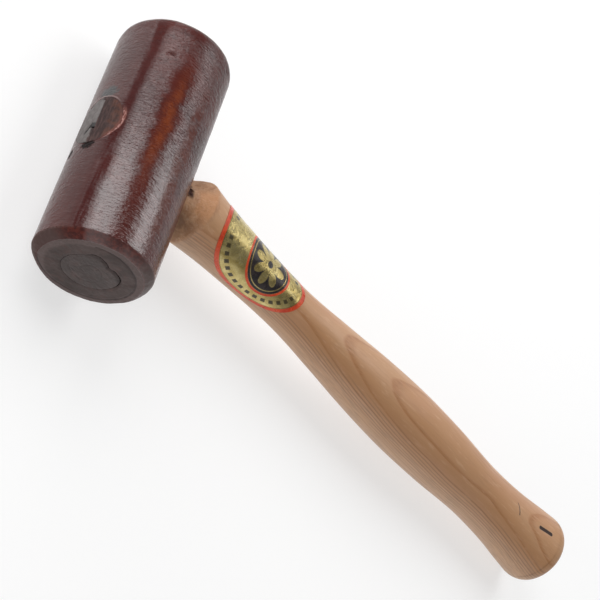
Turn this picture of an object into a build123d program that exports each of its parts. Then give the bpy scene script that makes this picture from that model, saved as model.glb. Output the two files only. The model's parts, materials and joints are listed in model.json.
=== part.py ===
from build123d import *

import os
from math import asin, atan2, cos, degrees, hypot, pi, radians, sin

# Rolled rawhide mallet, lying on its side.
#
# The head is a strip of hide rolled tight round a rolled core and turned round. A turned handle passes
# through it, and a wedge spreads the handle's tenon in the eye. An oval label is wrapped round the handle.
#
# Everything is drawn in the mallet's own frame first: head axis along Y through the origin, handle axis along
# +X, millimetres. The last step tips the mallet about its head until the butt of the handle touches the
# ground, and moves the origin to the bottom centre of the whole.

# Head, a round of hide; the rim of the far face is rounded further down the side
HEAD_RADIUS = 22.0
HEAD_LENGTH = 100.0
NEAR_FACE_RADIUS = 18.6
NEAR_RIM_DEPTH = 3.6
FAR_FACE_RADIUS = 17.4
FAR_RIM_DEPTH = 6.5

# How far cutting shapes run past what they cut
OVERSHOOT = 1.0

# Roll of hide: the core, then one strip wrapped twice and a third round it, skived thin at both ends
CORE_RADIUS = 10.3
CORE_OFFSET = (0.4, -1.9)
SEAM_ANGLE = 87.0
SKIVED_EDGE = 1.0
CORE_HIDE = 5.0
WRAP_HIDE = 6.2
SKIVE_TURN = 170.0
CORE_START_TURN = -505.0
CORE_END_TURN = -4.0
WRAP_START_TURN = 364.0
WRAP_END_TURN = 822.0
GLUE_FILM = 0.12
TURN_STEP = 20
CENTRE_HOLE = 0.4

# Eye through the head, wider on the side where the wedged tenon shows
EYE_RADIUS_NECK = 9.5
EYE_RADIUS_TOP = 10.25
TENON_CLEARANCE = 0.04

# Handle, from the shoulder at the head to the butt: (distance from the head's axis, radius)
NECK_START = (15.0, 9.7)
SHOULDER_START = (22.0, 9.9)
SHOULDER_EDGE = (29.8, 12.9)
SHOULDER_ROUND = (31.0, 13.3)
HANDLE_PROFILE = [
    (32.6, 13.3),
    (42.0, 12.2),
    (60.0, 10.95),
    (78.0, 10.15),
    (96.0, 10.05),
    (118.0, 11.45),
    (145.0, 13.5),
    (172.0, 14.65),
    (198.0, 14.35),
    (230.0, 12.9),
    (252.0, 13.7),
    (268.0, 15.25),
    (276.0, 16.0),
]
BUTT_CORNER = (280.4, 15.3)
BUTT_EDGE = (282.1, 13.2)
BUTT_END = 283.4

# Wedge driven into the end of the tenon, in the plane of the head and handle axes
WEDGE_LENGTH = 26.0
WEDGE_THICK = 1.9
WEDGE_TIP = 0.5
WEDGE_NEAR = -3.0
WEDGE_FAR = 9.2
SPLIT_END_GAP = 1.0

# Oval label wrapped round the handle, centred on the side that faces up
LABEL_CENTRE = 64.0
LABEL_HALF_LENGTH = 25.8
LABEL_HALF_TURN = 95.0
LABEL_THICK = 0.15
LABEL_POINTS = 24
LABEL_WALL_IN = 6.0
LABEL_WALL_OUT = 20.0

# Samples of the handle's outline when finding where it touches the ground
TILT_STEPS = 200


def hide_thickness(run, full):
    """Thickness of a strip, run degrees from its end: a skived edge that grows smoothly to full hide."""
    share = min(run / SKIVE_TURN, 1.0)
    return SKIVED_EDGE + (full - SKIVED_EDGE) * share * share * (3 - 2 * share)


def glue_radius(turn):
    """Radius of the glue line about the roll's centre, at a turn in degrees counted from the seam.

    Turns 0 to 360 are the core's surface. Each further layer lies one thickness of the wrap outside the
    last, and each layer inside the core one thickness of the core's strip further in.
    """
    if turn < 0:
        return glue_radius(turn + 360) - hide_thickness(-turn, CORE_HIDE)
    if turn <= 360:
        return CORE_RADIUS + SKIVED_EDGE * turn / 360
    return glue_radius(turn - 360) + hide_thickness(turn - 360, WRAP_HIDE)


def glue_point(turn, shift=0.0):
    """Point of the glue line in the X-Z plane; the roll's centre drifts to the head's axis as it grows."""
    drift = min(max(1 - turn / 720, 0.0), 1.0)
    angle = radians(SEAM_ANGLE - turn)
    radius = max(glue_radius(turn) + shift, CENTRE_HOLE)
    return (
        CORE_OFFSET[0] * drift + radius * cos(angle),
        CORE_OFFSET[1] * drift + radius * sin(angle),
    )


def across(outline, far, near):
    """Solid with a closed outline in the X-Z plane, between two distances along the head's axis."""
    plane = Plane(origin=(0, far, 0), x_dir=(1, 0, 0), z_dir=(0, -1, 0))
    return extrude(plane * Face(Wire(outline)), far - near, dir=(0, -1, 0))


def through_head(outline):
    """Solid with a closed outline in the X-Z plane, a little longer than the head."""
    reach = HEAD_LENGTH / 2 + OVERSHOOT
    return across(outline, reach, -reach)


def glue_curve(start, end, shift=0.0):
    """Smooth edge along the glue line from one turn to another."""
    steps = max(int(round((end - start) / TURN_STEP)), 2)
    points = [glue_point(start + (end - start) * step / steps, shift) for step in range(steps + 1)]
    return Spline(*points)


def glue_slit(start, end):
    """Thin spiral gap that the glue film fills between two layers of one strip."""
    inner = glue_curve(start, end, -GLUE_FILM / 2)
    outer = glue_curve(start, end, GLUE_FILM / 2)
    return through_head([inner, Line(inner @ 1, outer @ 1), outer, Line(outer @ 0, inner @ 0)])


def core_blank(shift):
    """Full-length solid inside the core's surface, moved in or out by shift."""
    surface = glue_curve(0, 360, shift)
    return through_head([surface, Line(surface @ 1, surface @ 0)])


def turned(outline):
    """Solid of revolution about the handle's axis, from a closed outline beside it."""
    return revolve(Face(Wire(outline)), Axis.X)


def rim_radius(face_radius, depth):
    """Radius of a rim's arc that runs smoothly into the side of the head."""
    cut = HEAD_RADIUS - face_radius
    return (cut * cut + depth * depth) / (2 * cut)


def head_envelope():
    """The whole head as turned on the lathe, with a rounded rim at each face."""
    end = HEAD_LENGTH / 2
    near_corner = (NEAR_FACE_RADIUS, -end)
    near_side = (HEAD_RADIUS, NEAR_RIM_DEPTH - end)
    far_side = (HEAD_RADIUS, end - FAR_RIM_DEPTH)
    far_corner = (FAR_FACE_RADIUS, end)
    outline = [
        Line((0, -end), near_corner),
        RadiusArc(near_corner, near_side, -rim_radius(NEAR_FACE_RADIUS, NEAR_RIM_DEPTH)),
        Line(near_side, far_side),
        RadiusArc(far_side, far_corner, -rim_radius(FAR_FACE_RADIUS, FAR_RIM_DEPTH)),
        Line(far_corner, (0, end)),
        Line((0, end), (0, -end)),
    ]
    return revolve(Face(Wire(outline)), Axis.Y)


def eye_plug(clearance=0.0):
    """Tapered round plug through the head along the handle's axis."""
    reach = HEAD_RADIUS + OVERSHOOT
    spread = (EYE_RADIUS_TOP - EYE_RADIUS_NECK) / (2 * HEAD_RADIUS) * OVERSHOOT
    neck = EYE_RADIUS_NECK - spread - clearance
    top = EYE_RADIUS_TOP + spread - clearance
    outline = Polyline((-reach, 0), (-reach, top), (reach, neck), (reach, 0), close=True)
    return turned(outline)


def make_hide_core():
    blank = core_blank(-GLUE_FILM / 2) & head_envelope()
    return blank - glue_slit(CORE_START_TURN, CORE_END_TURN) - eye_plug()


def make_hide_wrap():
    ring = head_envelope() - core_blank(GLUE_FILM / 2)
    return ring - glue_slit(WRAP_START_TURN, WRAP_END_TURN) - eye_plug()


def handle_curve():
    """Long swelling outline of the handle, from its shoulder to the butt."""
    return Spline(*HANDLE_PROFILE, tangents=[(1.0, -0.1), (1.0, 0.03)])


def butt_round():
    """Rounded edge of the butt."""
    return ThreePointArc(HANDLE_PROFILE[-1], BUTT_CORNER, BUTT_EDGE)


def make_handle_blank():
    """Handle behind the head: coned shoulder, waist, swell and rounded butt."""
    curve = handle_curve()
    outline = [
        Line((NECK_START[0], 0), NECK_START),
        Line(NECK_START, SHOULDER_START),
        Line(SHOULDER_START, SHOULDER_EDGE),
        ThreePointArc(SHOULDER_EDGE, SHOULDER_ROUND, curve @ 0),
        curve,
        butt_round(),
        Spline(BUTT_EDGE, (BUTT_END, 0), tangents=[(0.35, -1.0), (0.0, -1.0)]),
        Line((BUTT_END, 0), (NECK_START[0], 0)),
    ]
    return turned(outline)


def wedge_blank(side_gap):
    """Wedge shape in the tenon's end, wider at its near side by side_gap."""
    back = -HEAD_RADIUS - OVERSHOOT
    tip = -HEAD_RADIUS + WEDGE_LENGTH
    corners = [
        (back, -WEDGE_THICK / 2),
        (tip, -WEDGE_TIP / 2),
        (tip, WEDGE_TIP / 2),
        (back, WEDGE_THICK / 2),
    ]
    return across(Polyline(*corners, close=True), WEDGE_FAR, WEDGE_NEAR - side_gap)


def head_round():
    """Plain cylinder of the head's surface, which trims the tenon and the wedge flush."""
    return Rot(90, 0, 0) * Cylinder(HEAD_RADIUS, HEAD_LENGTH)


def make_handle():
    tenon = eye_plug(TENON_CLEARANCE) & head_round()
    neck = make_handle_blank() - head_round()
    split_room = wedge_blank(SPLIT_END_GAP)
    return tenon + neck - split_room


def make_wedge():
    return wedge_blank(0) & head_round() & eye_plug(TENON_CLEARANCE)


def label_edge(radius):
    """Closed curve of the label's oval, wrapped round the handle at one radius."""
    points = []
    for step in range(LABEL_POINTS):
        angle = 2 * pi * step / LABEL_POINTS
        along = LABEL_CENTRE + LABEL_HALF_LENGTH * cos(angle)
        around = radians(LABEL_HALF_TURN * sin(angle))
        points.append((along, radius * sin(around), radius * cos(around)))
    return Spline(*points, periodic=True)


def make_label():
    """Thin band on the handle's surface, cut to the wrapped oval by a wall that stands on its edge."""
    inner = handle_curve()
    outer = Pos(0, LABEL_THICK, 0) * inner
    band = turned([inner, Line(inner @ 1, outer @ 1), outer, Line(outer @ 0, inner @ 0)])
    wall = Face.make_surface_from_curves(label_edge(LABEL_WALL_IN), label_edge(LABEL_WALL_OUT))
    pieces = band.split(wall, keep=Keep.ALL)
    return min(pieces, key=lambda piece: piece.volume)


def rest_tilt():
    """Angle in degrees that tips the handle down until it touches the ground the head lies on."""
    tilts = []
    for outline in (handle_curve(), butt_round()):
        for step in range(TILT_STEPS + 1):
            point = outline @ (step / TILT_STEPS)
            tilts.append(asin(HEAD_RADIUS / hypot(point.X, point.Y)) - atan2(point.Y, point.X))
    return degrees(min(tilts))


def make_pieces():
    """All pieces in the mallet's own frame, by node name."""
    return {
        "hide_core_roll": make_hide_core(),
        "hide_outer_wrap": make_hide_wrap(),
        "handle": make_handle(),
        "eye_wedge": make_wedge(),
        "oval_label": make_label(),
    }


def laid_down(pieces):
    """The pieces as they lie at rest, with the origin at the bottom centre of the whole."""
    tipped = {node: Rot(0, rest_tilt(), 0) * piece for node, piece in pieces.items()}
    boxes = [piece.bounding_box() for piece in tipped.values()]
    middle = (min(box.min.X for box in boxes) + max(box.max.X for box in boxes)) / 2
    move = Pos(-middle, 0, HEAD_RADIUS)
    return {node: move * piece for node, piece in tipped.items()}


def main():
    os.makedirs("parts", exist_ok=True)
    for node, piece in laid_down(make_pieces()).items():
        export_step(piece, f"parts/{node}.step")


main()
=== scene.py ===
import json
import math

import bmesh
import bpy
import numpy as np
from mathutils import Matrix, Vector


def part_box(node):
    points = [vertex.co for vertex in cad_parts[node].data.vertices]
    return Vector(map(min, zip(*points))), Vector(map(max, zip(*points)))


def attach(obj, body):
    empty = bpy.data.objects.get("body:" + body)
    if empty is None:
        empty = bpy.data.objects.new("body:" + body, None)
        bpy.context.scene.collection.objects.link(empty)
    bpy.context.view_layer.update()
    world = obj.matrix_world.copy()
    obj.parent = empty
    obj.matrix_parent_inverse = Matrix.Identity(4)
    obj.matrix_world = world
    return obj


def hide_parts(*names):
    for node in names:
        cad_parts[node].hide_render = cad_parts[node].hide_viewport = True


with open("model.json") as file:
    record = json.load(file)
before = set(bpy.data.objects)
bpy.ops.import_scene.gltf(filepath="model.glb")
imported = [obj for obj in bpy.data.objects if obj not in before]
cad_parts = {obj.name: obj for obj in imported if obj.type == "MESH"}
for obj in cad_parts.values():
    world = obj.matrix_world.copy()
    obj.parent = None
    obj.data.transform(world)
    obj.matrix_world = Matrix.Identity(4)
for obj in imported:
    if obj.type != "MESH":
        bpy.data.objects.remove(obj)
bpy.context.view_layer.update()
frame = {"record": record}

# --- The mallet's own frame: head axis along Y through the origin, handle axis along +X, millimetres ---

MM = 0.001
DEGREE = math.radians(1)
WRAP_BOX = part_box("hide_outer_wrap")
HEAD_CENTRE = (WRAP_BOX[0] + WRAP_BOX[1]) / 2
GRIP = next(m for m in frame["record"]["mounts"] if m["name"] == "grip")
TILT = math.atan2(-GRIP["axis"][2], GRIP["axis"][0])

HEAD_RADIUS = (WRAP_BOX[1].z - WRAP_BOX[0].z) / 2 / MM
HALF_HEAD = (WRAP_BOX[1].y - WRAP_BOX[0].y) / 2 / MM


def to_part(points):
    """Points in the mallet's frame, in mm, as metres in the part's frame."""
    points = np.asarray(points, float)
    c, s = math.cos(TILT), math.sin(TILT)
    x, y, z = points[..., 0], points[..., 1], points[..., 2]
    turned = np.stack([x * c + z * s, y, z * c - x * s], -1)
    return turned * MM + np.array(HEAD_CENTRE)


def about_head(radius, y, angle):
    """Points round the head's axis."""
    return np.stack(np.broadcast_arrays(radius * np.cos(angle), y, radius * np.sin(angle)), -1)


def about_handle(x, radius, angle):
    """Points round the handle's axis."""
    return np.stack(np.broadcast_arrays(x, radius * np.cos(angle), radius * np.sin(angle)), -1)


def flat(x, z):
    """Points of a flat face, for noise."""
    return np.stack([x, z, x * 0], -1)


# --- Noise and curves ---


def lattice(i, j, k, seed):
    """Repeatable pseudo-random value from 0 to 1 at each whole-numbered lattice point."""
    mask = np.int64(0x7FFFFFFF)
    n = (i * 73856093) ^ (j * 19349663) ^ (k * 83492791) ^ np.int64(seed * 26544357)
    n = (n & mask) * 1103515245 + 12345 & mask
    n = (n ^ (n >> 13)) * 69069 + 1 & mask
    n = (n ^ (n >> 9)) * 1103515245 + 12345 & mask
    return (n >> 7 & 0xFFFF) / 65535.0


def noise(points, seed=0):
    """Smooth noise from -1 to 1 at points scaled so that its features are about one unit long."""
    points = np.asarray(points, float)
    base = np.floor(points).astype(np.int64)
    part = points - base
    part = part * part * part * (part * (part * 6 - 15) + 10)
    total = np.zeros(points.shape[:-1])
    for corner in range(8):
        step = (corner & 1, corner >> 1 & 1, corner >> 2 & 1)
        weight = 1.0
        for axis in range(3):
            share = part[..., axis]
            weight = weight * (share if step[axis] else 1 - share)
        at = [base[..., axis] + step[axis] for axis in range(3)]
        total += weight * lattice(*at, seed)
    return total * 2 - 1


def fractal(points, seed=0, octaves=3, gain=0.5):
    """Sum of noise at doubling frequencies."""
    total, size = 0.0, 1.0
    for octave in range(octaves):
        total = total + noise(np.asarray(points) * 2.0**octave, seed + octave * 7) * size
        size *= gain
    return total


def smooth(value, low, high):
    """0 below low, 1 above high, smooth between; low may be the larger."""
    share = np.clip((value - low) / (high - low), 0, 1)
    return share * share * (3 - 2 * share)


def bump(value, centre, width):
    """1 at the centre, falling to 0 with distance."""
    return np.exp(-(((value - centre) / width) ** 2))


def bezier(points, share):
    """Point of a cubic curve with four control points."""
    a, b, c, d = (np.asarray(p, float) for p in points)
    t = np.asarray(share, float)[:, None]
    return a * (1 - t) ** 3 + 3 * b * t * (1 - t) ** 2 + 3 * c * t * t * (1 - t) + d * t**3


def hermite(xs, ys, at):
    """Smooth curve through (xs, ys), read at the given places."""
    xs, ys = np.asarray(xs, float), np.asarray(ys, float)
    slope = np.gradient(ys, xs)
    k = np.clip(np.searchsorted(xs, at) - 1, 0, len(xs) - 2)
    span = xs[k + 1] - xs[k]
    t = (at - xs[k]) / span
    return (
        (1 + 2 * t) * (1 - t) ** 2 * ys[k]
        + t * (1 - t) ** 2 * span * slope[k]
        + t * t * (3 - 2 * t) * ys[k + 1]
        + t * t * (t - 1) * span * slope[k + 1]
    )


# --- Meshes ---

# Edges shorter than this, in mm, that a cut leaves behind are closed up
SLIVER = 0.001


def sweep_faces(rows, columns, ring):
    """Quads of a grid whose columns close on themselves, and whose rows do too if ring is set."""
    faces = []
    for i in range(rows if ring else rows - 1):
        a, b = i * columns, (i + 1) % rows * columns
        for j in range(columns):
            k = (j + 1) % columns
            faces.append((a + j, a + k, b + k, b + j))
    return faces


def shade(mesh, sharp):
    """Smooth shading, except at edges sharper than the angle."""
    mesh.polygons.foreach_set("use_smooth", [True] * len(mesh.polygons))
    if sharp:
        mesh.set_sharp_from_angle(angle=math.radians(sharp))


def make_object(name, points, faces, sharp=None):
    """Mesh object from points in the mallet's frame, with its faces turned outward."""
    mesh = bpy.data.meshes.new(name)
    mesh.from_pydata(to_part(points).tolist(), [], faces)
    mesh.validate()
    shade(mesh, sharp)
    mesh.update()
    obj = bpy.data.objects.new(name, mesh)
    bpy.context.scene.collection.objects.link(obj)
    outward(mesh)
    return obj


def make_swept(name, grid, ring=False, poles=None, sharp=None):
    """Object from a grid of rows by columns; an open one is closed by a fan to a pole at each end."""
    rows, columns = grid.shape[:2]
    points = grid.reshape(-1, 3)
    faces = sweep_faces(rows, columns, ring)
    if poles is not None:
        first, last = len(points), len(points) + 1
        points = np.vstack([points, poles])
        edge = (rows - 1) * columns
        for j in range(columns):
            k = (j + 1) % columns
            faces.append((first, k, j))
            faces.append((last, edge + j, edge + k))
    return make_object(name, points, faces, sharp)


def outward(mesh):
    """Turns the faces round if the mesh is inside out."""
    mesh.calc_loop_triangles()
    co = np.zeros(len(mesh.vertices) * 3)
    mesh.vertices.foreach_get("co", co)
    co = co.reshape(-1, 3) - co.reshape(-1, 3).mean(0)
    tri = np.zeros(len(mesh.loop_triangles) * 3, np.int32)
    mesh.loop_triangles.foreach_get("vertices", tri)
    a, b, c = (co[tri.reshape(-1, 3)[:, k]] for k in range(3))
    if np.einsum("ij,ij->i", a, np.cross(b, c)).sum() < 0:
        mesh.flip_normals()


def cut(obj, tool, sharp):
    """Takes the tool's space out of the object, and removes the tool."""
    modifier = obj.modifiers.new("cut", "BOOLEAN")
    modifier.operation = "DIFFERENCE"
    modifier.object = tool
    modifier.solver = "MANIFOLD"
    graph = bpy.context.evaluated_depsgraph_get()
    mesh = bpy.data.meshes.new_from_object(obj.evaluated_get(graph), depsgraph=graph)
    obj.modifiers.clear()
    obj.data = mesh
    clean = bmesh.new()
    clean.from_mesh(mesh)
    bmesh.ops.dissolve_degenerate(clean, edges=clean.edges, dist=SLIVER * MM)
    bmesh.ops.triangulate(clean, faces=clean.faces)
    clean.to_mesh(mesh)
    clean.free()
    shade(mesh, sharp)
    mesh.name = obj.name
    bpy.data.objects.remove(tool)


# --- Roll of hide ---

# The spiral of the CAD's roll, drawn as fine lines on the end faces
SEAM_ANGLE = 87.0
CORE_RADIUS, CORE_STEP = 10.3, 1.0
CORE_OFFSET = (0.4, -1.9)
CORE_HIDE, WRAP_HIDE, SKIVE_TURN = 5.0, 6.2, 170.0
CORE_TURNS, WRAP_TURNS = (-505, -4), (364, 822)
TURN_STEP, CENTRE_HOLE = 4.0, 0.4
# Half the gap between core and wrap
SEAM_GAP = 0.07
# Radii of the eye at the handle's side and at the far one, the tenon's clearance, the tool's half length
EYE_NECK, EYE_TOP, EYE_CLEAR, EYE_REACH = 9.5, 10.25, 0.04, 26.0

# The near rim was turned askew: (middle, swing, azimuth of the swing, second swing, its azimuth)
NEAR_EDGE = (18.75, 1.69, -45.6, 0.69, 84.5)
NEAR_DEPTH = (3.0, -1.2, 165.0, 0.0, 0.0)
# The core's edge on the end faces, as (azimuth, radius): pressed out of round, with a dip at its seam
CORE_OUTLINE = [
    (-90, 11.6), (-50, 11.4), (-20, 11.1), (0, 11.0), (18, 11.2), (31, 10.95), (43, 10.3), (56, 9.3),
    (67, 8.55), (77, 7.4), (90, 8.05), (104, 8.6), (117, 9.3), (129, 9.3), (141, 8.7), (153, 8.4),
    (175, 8.7), (197, 9.4), (232, 10.7), (270, 11.6),
]
FAR_FACE, FAR_RIM = 17.4, 6.5
FAR_CURVE = [(HEAD_RADIUS, FAR_RIM), (HEAD_RADIUS, 2.9), (20.6, 0.35), (FAR_FACE, 0.0)]
# Where the wrap's outer layer begins on the near face: radius, azimuth, and degrees of turn per mm
LAYER_RADIUS, LAYER_AZIMUTH, LAYER_TURN = 14.8, 130, 60
# Depth in mm that the near face falls away at its edge, and rows of the wrap's grid
EDGE_DROP = 0.12
FACE_ROWS, RIM_ROWS, SIDE_ROWS = 30, 17, 200
# Dents in the side, as (azimuth, distance along the head)
CRESCENT, NICK = (130, 32.3), (57, 24)


def hide_thickness(run, full):
    """Thickness of a strip, run degrees from its skived end."""
    share = min(run / SKIVE_TURN, 1.0)
    return CORE_STEP + (full - CORE_STEP) * share * share * (3 - 2 * share)


def glue_radius(turn):
    """Radius of the glue line about the roll's centre, at a turn in degrees counted from the seam."""
    if turn < 0:
        return glue_radius(turn + 360) - hide_thickness(-turn, CORE_HIDE)
    if turn <= 360:
        return CORE_RADIUS + CORE_STEP * turn / 360
    return glue_radius(turn - 360) + hide_thickness(turn - 360, WRAP_HIDE)


def glue_lines(start, end):
    """Points (x, z) along the glue line between two turns."""
    points = []
    for turn in np.arange(start, end + TURN_STEP / 2, TURN_STEP):
        drift = min(max(1 - turn / 720, 0.0), 1.0)
        angle = math.radians(SEAM_ANGLE - turn)
        radius = max(glue_radius(turn), CENTRE_HOLE)
        x = CORE_OFFSET[0] * drift + radius * math.cos(angle)
        points.append((x, CORE_OFFSET[1] * drift + radius * math.sin(angle)))
    return np.array(points)


def core_edge(azimuth):
    """Distance from the head's axis to the core's edge at head azimuths in degrees, from +X to +Z."""
    around, radius = zip(*CORE_OUTLINE)
    return hermite(around, radius, (np.asarray(azimuth, float) + 90) % 360 - 90)


def opened(azimuth):
    """1 where the seam has opened into a crack along the top of the core, 0 where it is tight."""
    return smooth(azimuth, 0, 26) * smooth(azimuth, 150, 128)


def seam_gap(azimuth):
    """Half the gap between core and wrap."""
    ragged = 0.05 * noise(np.stack([azimuth / 6.0, azimuth * 0, azimuth * 0], -1), 43)
    return SEAM_GAP + (0.10 + ragged) * opened(azimuth)


def swing(terms, azimuth):
    """Value that swings once and twice round the head."""
    middle, once, at, twice, second_at = terms
    value = middle + once * np.cos(np.radians(azimuth - at))
    return value + twice * np.cos(np.radians(2 * (azimuth - second_at)))


def layer_line(azimuth):
    """Radius of the faint line where the wrap's outer layer begins, spiralling out as azimuth falls."""
    return LAYER_RADIUS + (LAYER_AZIMUTH - azimuth) % 360 / LAYER_TURN


def groove(x, z, line, width):
    """1 on a line of points (x, z), falling to 0 beside it."""
    points = np.stack([x.ravel(), z.ravel()], 1)
    best = np.full(len(points), 1e9)
    for start, along in zip(line[:-1], line[1:] - line[:-1]):
        near = np.hypot(*(points - start - along / 2).T) < 3
        if near.any():
            off = points[near] - start
            t = np.clip(off @ along / (along @ along), 0, 1)
            best[near] = np.minimum(best[near], np.hypot(*(off - t[:, None] * along).T))
    return np.exp(-((best / width) ** 2)).reshape(x.shape)


def near_sink(x, z, radius, azimuth):
    """How far the near end lies inside the plane of its face."""
    worn = fractal(flat(x, z) / 5.0, 3, 3) * 0.10
    fine = fractal(flat(x, z) / 1.3, 11, 2) * 0.035
    lean = 0.14 * (1 + np.cos(np.radians(azimuth + 42))) * smooth(radius, 6, 20)
    return np.maximum(0.0, 0.1 + worn + fine) + lean


def far_sink(x, z):
    """How far the far end lies inside the plane of its face."""
    return np.maximum(0, 0.08 + fractal(flat(x, z) / 5.0, 31, 3) * 0.08)


def wrap_grid(columns=320):
    """Closed grid of the outer wrap: near face, rim, side, far rim, far face and bore."""
    azimuth = np.linspace(-180, 180, columns, endpoint=False)
    angle = np.radians(azimuth)
    seam = core_edge(azimuth) + seam_gap(azimuth)
    edge, depth_end = swing(NEAR_EDGE, azimuth), swing(NEAR_DEPTH, azimuth)
    rows = []

    # near face, from the seam outwards, then the rim: (radius, depth inside the face, which end)
    for share in np.linspace(0, 1, FACE_ROWS):
        rows.append((seam + (edge - seam) * share, EDGE_DROP * smooth(share, 0.75, 1.0), -1))
    width = HEAD_RADIUS - edge
    for share in np.linspace(0, 1, RIM_ROWS)[1:]:
        a, b, c = (1 - share) ** 2 * share * 3, (1 - share) * share**2 * 3, share**3
        radius = edge + width * (0.36 * a + 0.97 * b + c)
        rows.append((radius, EDGE_DROP * (1 - share) ** 3 + depth_end * (0.13 * a + 0.6 * b + c), -1))
    # side: (radius, place along the head, 0)
    for share in np.linspace(0, 1, SIDE_ROWS)[1:-1]:
        low = -HALF_HEAD + depth_end
        rows.append((HEAD_RADIUS, low + (HALF_HEAD - FAR_RIM - low) * share, 0))
    # far rim and far face
    for radius, depth in bezier(FAR_CURVE, np.linspace(0, 1, 18)):
        rows.append((radius, depth, 1))
    for share in np.linspace(0, 1, 20)[1:]:
        rows.append((FAR_FACE + (seam - FAR_FACE) * share, 0.0, 1))

    grid = []
    lines = glue_lines(*WRAP_TURNS)
    for radius, depth, sign in rows:
        if sign == 0:
            grid.append(about_head(radius - side_relief(azimuth, depth), depth, angle))
            continue
        x, z = radius * np.cos(angle), radius * np.sin(angle)
        y = sign * (HALF_HEAD - depth)
        radius = radius - side_relief(azimuth, y) * smooth(radius, 18.5, HEAD_RADIUS)
        if sign < 0:
            sink = near_sink(x, z, radius, azimuth)
            mark = 0.22 * bump(radius, layer_line(azimuth), 0.34) * smooth(radius, edge + 0.2, edge - 0.6)
        else:
            sink = far_sink(x, z)
            mark = groove(x, z, lines, 0.26) * 0.24 * smooth(radius, 19.5, 18.0)
        lip = bump(radius - seam, 0.0, 0.55) * (0.08 + 0.50 * opened(azimuth))
        grid.append(about_head(radius, y - sign * (sink + mark + lip), angle))
    # bore, back from the far seam to the near one
    first, last = grid[0], grid[-1]
    for share in np.linspace(1, 0, 7)[1:-1]:
        grid.append(first * (1 - share) + last * share)
    return np.array(grid)


def side_relief(azimuth, y):
    """How far the lacquered side lies inside the head's radius: ripples, nicks and the eye's lip."""
    azimuth = np.asarray(azimuth, float)
    y = np.asarray(y, float) + 0 * azimuth
    here = about_head(HEAD_RADIUS, y, np.radians(azimuth))
    x, z = here[..., 0], here[..., 2]
    # ripples run round the head and are short along it
    warped = y + fractal(here / 6.0, 51, 2) * 1.2
    ripple = noise(np.stack([x / 3.4, warped / 0.95, z / 3.4], -1), 5)
    ripple += 0.6 * noise(np.stack([x / 2.2, warped / 0.62 + 7.3, z / 2.2], -1), 6)
    patch = 0.35 + 0.65 * smooth(fractal(here / 9.0, 17, 2), -0.5, 0.5)
    pebble = noise(here / 1.25, 23)
    swell = fractal(here / np.array([14.0, 26.0, 14.0]), 29, 2)
    depth = 0.19 + 0.062 * ripple * patch + 0.030 * pebble + 0.05 * swell
    # the crescent and the nick
    across = (azimuth - CRESCENT[0]) * DEGREE * HEAD_RADIUS
    bow = y - CRESCENT[1] + 0.35 * (across / 1.3) ** 2 - 0.2
    depth += 0.6 * np.exp(-((bow / 0.50) ** 2) - (across / 1.7) ** 4)
    across = (azimuth - NICK[0]) * DEGREE * HEAD_RADIUS
    depth += 0.2 * np.exp(-(((y - NICK[1]) / 0.5) ** 2) - (across / 0.6) ** 2)
    depth += eye_lip(azimuth, y)
    return np.clip(depth, 0.0, 2.5)


def eye_lip(azimuth, y):
    """Hide pulled down round the eye, with a torn lip on its upper near side and a crack at its end."""
    angle = np.radians(azimuth)
    on_side = smooth(np.cos(angle), -0.3, -0.5)
    z = HEAD_RADIUS * np.sin(angle)
    out = np.hypot(y, z) - EYE_TOP
    around = np.degrees(np.arctan2(z, -y))  # 0 toward the near end, 90 toward +Z
    ragged = fractal(flat(y / 1.6, z / 1.6), 41, 2) * 0.35
    upper = smooth(around, -8, 30)
    drop = smooth(out + ragged, 1.5, -0.1) * upper * (0.12 + 0.62 * bump(around, 62, 40))
    ridge = bump(out + ragged, 2.0, 0.55) * -0.13 * bump(around, 75, 40)
    step = bump(out + ragged * 0.6, 0.75, 0.22) * 0.14 * bump(around, 80, 35)
    crack = bump(out + ragged * 0.4, 0.1, 0.7) * 0.8 * bump(around, 6, 20)
    smear = -0.06 * bump(out, 1.6, 1.2) * bump(around, 150, 25)
    return on_side * (drop + step + ridge + crack + smear)


def eye_radius(x):
    """Radius of the tapered eye."""
    return EYE_TOP + (EYE_NECK - EYE_TOP) * (x + HEAD_RADIUS) / (2 * HEAD_RADIUS)


def make_eye_tool():
    """Tapered plug that opens the eye."""
    angle = np.linspace(0, 2 * math.pi, 144, endpoint=False)
    rows = [about_handle(x, eye_radius(x), angle) for x in np.linspace(-EYE_REACH, EYE_REACH, 27)]
    return make_swept("eye_tool", np.array(rows), poles=[(-EYE_REACH, 0, 0), (EYE_REACH, 0, 0)])


def core_grid(columns=240):
    """Closed grid of the core: near end from its middle, side, far end."""
    azimuth = np.linspace(-180, 180, columns, endpoint=False)
    angle = np.radians(azimuth)
    edge = core_edge(azimuth) - seam_gap(azimuth)
    lines = glue_lines(*CORE_TURNS)
    ends = []
    for sign in (-1, 1):
        disc = []
        for share in np.linspace(0, 1, 40)[1:]:
            radius = edge * share
            x, z = radius * np.cos(angle), radius * np.sin(angle)
            sink = near_sink(x, z, radius, azimuth) if sign < 0 else far_sink(x, z)
            mark = groove(x, z, lines, 0.24) * 0.13
            lip = bump(edge - radius, 0.0, 0.55) * (0.08 + 0.45 * opened(azimuth))
            disc.append(np.stack([x, sign * (HALF_HEAD - sink - mark - lip), z], -1))
        ends.append(disc)
    near, far = ends
    side = [near[-1] * (1 - t) + far[-1] * t for t in np.linspace(0, 1, 40)[1:-1]]
    return np.array(near + side + far[::-1])


# --- Handle, wedge and label ---

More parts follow.
